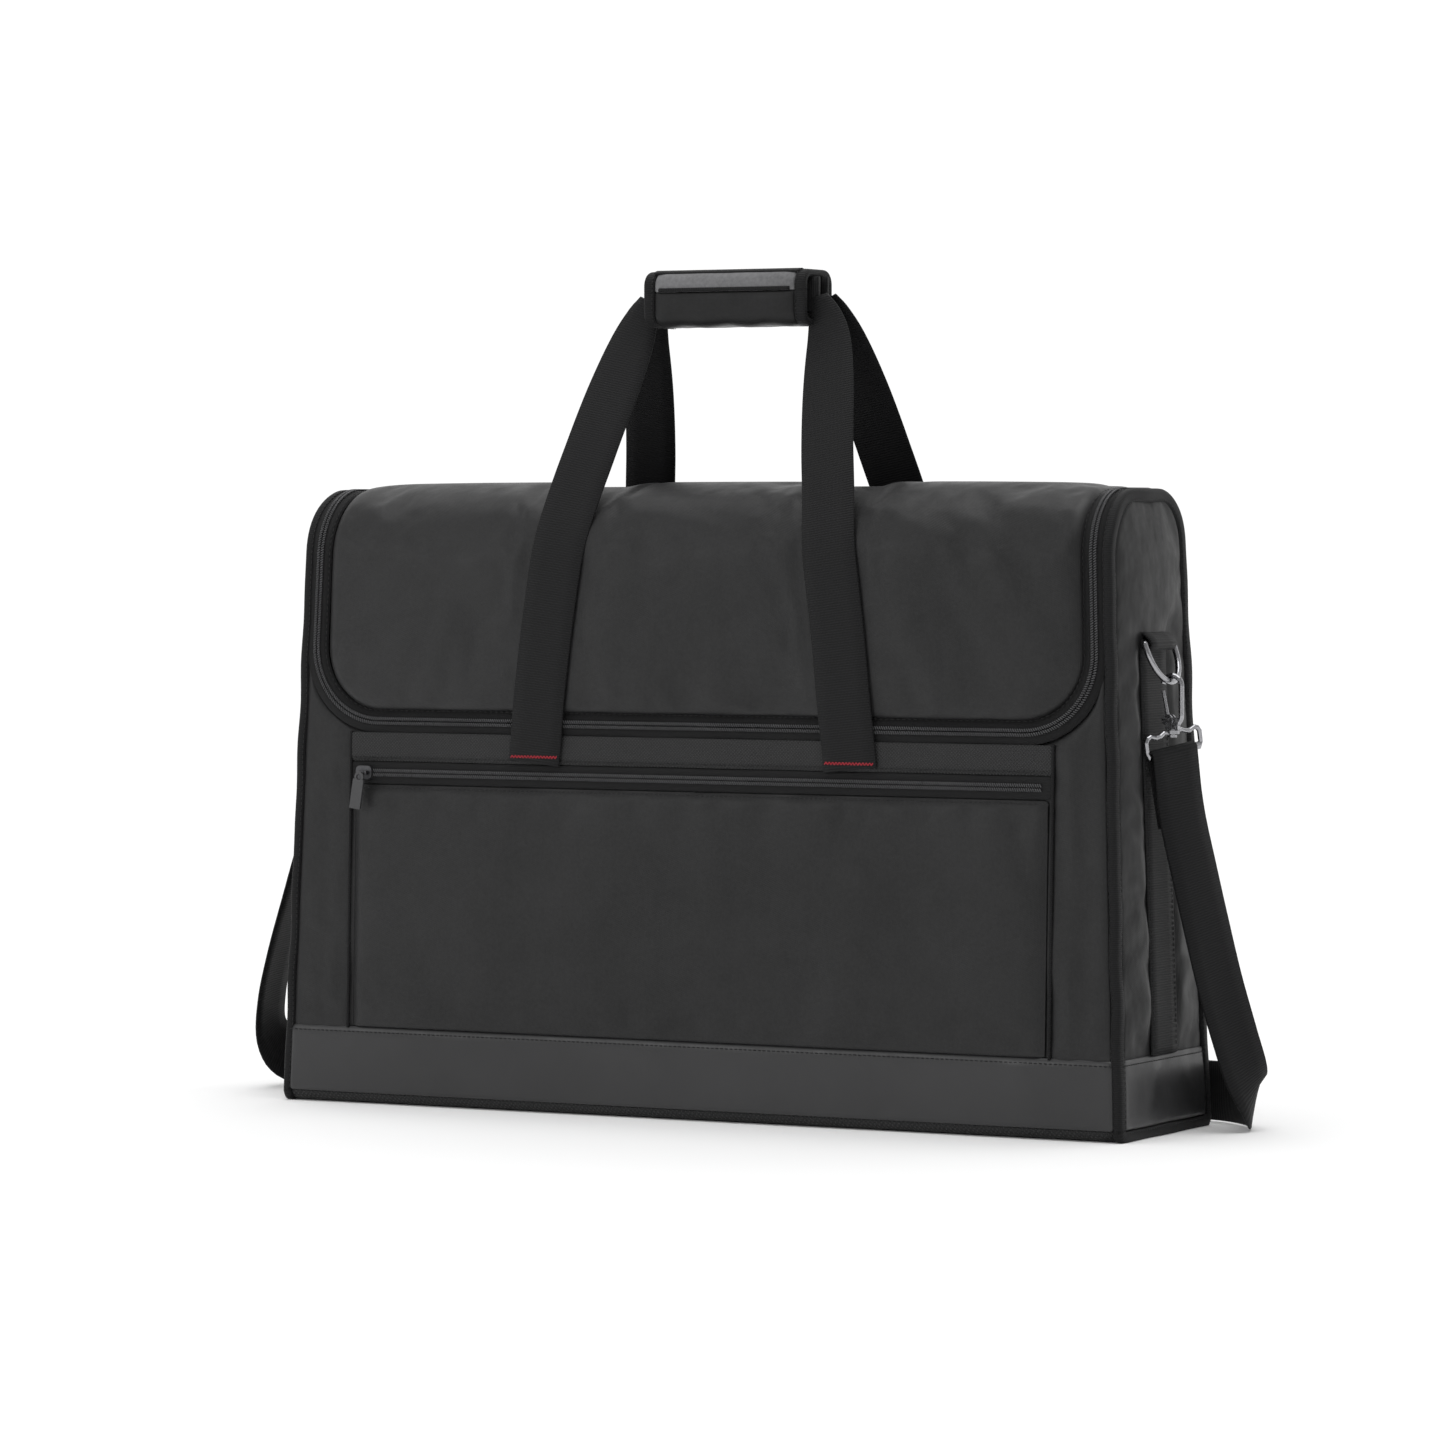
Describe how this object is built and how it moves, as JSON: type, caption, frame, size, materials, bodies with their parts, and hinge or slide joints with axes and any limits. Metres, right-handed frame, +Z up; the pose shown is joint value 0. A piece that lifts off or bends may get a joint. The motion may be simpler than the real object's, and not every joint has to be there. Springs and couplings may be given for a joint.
{
  "type": "padded carry bag",
  "caption": "Padded tapered carry bag with a zipped front and top lid, front zip pocket, paired webbing handles with a wrap grip and a detachable shoulder strap.",
  "frame": {"origin": "on the floor, under the centre of the bag's base", "axes": "+X along the bag's length, -Y out of the front with the lid and pocket, +Z up"},
  "size_m": [0.7161, 0.1696, 0.5456],
  "materials": {
    "shell_fabric": "satin coated polyester",
    "facing_fabric": "matt woven polyester",
    "grip_top_fabric": "satin coated polyester",
    "band_fabric": "smooth coated fabric",
    "base_fabric": "coarse coated polyester",
    "binding_tape": "ribbed tape",
    "foam": "closed cell foam",
    "board": "hollow plastic board",
    "lining": "plain lining cloth",
    "zip_tape": "woven tape with nylon coil",
    "webbing": "ribbed webbing",
    "strap_webbing": "ribbed webbing",
    "red_thread": "bar tack thread",
    "slider_metal": "gunmetal",
    "pull_fabric": "moulded pull",
    "bright_metal": "nickel plate",
    "adjuster_plastic": "moulded"
  },
  "bodies": {
    "bag": {"front_panel": "shell_fabric", "back_panel": "shell_fabric", "base_panel": "base_fabric", "left_end_panel": "shell_fabric", "right_end_panel": "shell_fabric", "left_binding": "binding_tape", "right_binding": "binding_tape", "front_base_band": "band_fabric", "back_base_band": "band_fabric", "left_base_band": "band_fabric", "right_base_band": "band_fabric", "front_foam": "foam", "back_foam": "foam", "left_end_foam": "foam", "right_end_foam": "foam", "base_foam": "foam", "base_board": "board", "body_lining": "lining", "body_zip_tape": "zip_tape", "pocket_facing": "facing_fabric", "pocket_zip_tape": "zip_tape", "pocket_panel": "shell_fabric", "pocket_piping": "facing_fabric", "left_side_webbing": "webbing", "right_side_webbing": "webbing", "left_ring_loop": "webbing", "right_ring_loop": "webbing", "handle_bartacks": "red_thread", "strap_right": "strap_webbing", "strap_left": "strap_webbing", "strap_adjuster": "adjuster_plastic"},
    "lid": {"lid_panel": "shell_fabric", "lid_foam": "foam", "lid_lining": "lining", "lid_zip_tape": "zip_tape"},
    "lid_slider": {"lid_slider": "slider_metal"},
    "lid_pull": {"lid_pull": "pull_fabric"},
    "pocket_slider": {"pocket_slider": "slider_metal"},
    "pocket_pull": {"pocket_pull": "pull_fabric"},
    "front_handle": {"front_handle_strap": "webbing", "grip_wrap": "facing_fabric", "grip_binding": "binding_tape"},
    "grip_flap": {"grip_flap": "grip_top_fabric", "grip_flap_binding": "binding_tape"},
    "back_handle": {"back_handle_strap": "webbing"},
    "left_ring": {"left_ring": "bright_metal", "left_hook": "bright_metal", "left_strap_frame": "bright_metal"},
    "right_ring": {"right_ring": "bright_metal", "right_hook": "bright_metal", "right_strap_frame": "bright_metal"},
    "left_gate": {"left_gate": "bright_metal"},
    "right_gate": {"right_gate": "bright_metal"}
  },
  "joints": [
    {"name": "lid_hinge", "type": "hinge", "parent": "bag", "child": "lid", "pos_m": [0, 0.05219, 0.37963], "axis": [-1, 0, 0], "range_deg": [0, 105], "deforming": ["front_handle_strap", "back_handle_strap"]},
    {"name": "front_handle_swing", "type": "hinge", "parent": "bag", "child": "front_handle", "pos_m": [0, -0.06476, 0.228], "axis": [1, 0, 0], "range_deg": [0, 137]},
    {"name": "back_handle_swing", "type": "hinge", "parent": "bag", "child": "back_handle", "pos_m": [0, 0.0625, 0.228], "axis": [-1, 0, 0], "range_deg": [0, 137]},
    {"name": "grip_flap_open", "type": "hinge", "parent": "front_handle", "child": "grip_flap", "pos_m": [0, -0.0197, 0.5322], "axis": [1, 0, 0], "range_deg": [0, 110]},
    {"name": "lid_slider_travel", "type": "hinge", "parent": "lid", "child": "lid_slider", "pos_m": [0, 0.02024, 0.368], "axis": [1, 0, 0], "range_deg": [0, 22]},
    {"name": "lid_pull_swing", "type": "hinge", "parent": "lid_slider", "child": "lid_pull", "pos_m": [-0.27935, 0.04428, 0.40232], "axis": [1, 0, 0], "range_deg": [0, 100]},
    {"name": "pocket_slider_travel", "type": "slide", "parent": "bag", "child": "pocket_slider", "axis": [1, 0, 0], "range_m": [0, 0.486]},
    {"name": "pocket_pull_swing", "type": "hinge", "parent": "pocket_slider", "child": "pocket_pull", "pos_m": [-0.243, -0.07153, 0.21817], "axis": [-1, 0, 0], "range_deg": [0, 110]},
    {"name": "left_ring_swing", "type": "hinge", "parent": "bag", "child": "left_ring", "pos_m": [-0.29891, -0.00153, 0.307], "axis": [0, 1, 0], "range_deg": [0, 70], "deforming": ["strap_left"]},
    {"name": "left_gate_open", "type": "hinge", "parent": "left_ring", "child": "left_gate", "pos_m": [-0.30596, -0.00153, 0.25943], "axis": [0, -1, 0], "range_deg": [0, 18], "stiffness_Nm_per_rad": 0.02, "springref_deg": -11.46},
    {"name": "right_ring_swing", "type": "hinge", "parent": "bag", "child": "right_ring", "pos_m": [0.29891, -0.00153, 0.307], "axis": [0, -1, 0], "range_deg": [0, 70], "deforming": ["strap_right"]},
    {"name": "right_gate_open", "type": "hinge", "parent": "right_ring", "child": "right_gate", "pos_m": [0.30596, -0.00153, 0.25943], "axis": [0, 1, 0], "range_deg": [0, 18], "stiffness_Nm_per_rad": 0.02, "springref_deg": -11.46}
  ],
  "couplings": [
    {"joint": "front_handle_swing", "follows": "lid_hinge", "ratio": 1.3},
    {"joint": "back_handle_swing", "follows": "lid_hinge", "ratio": 1.3}
  ]
}
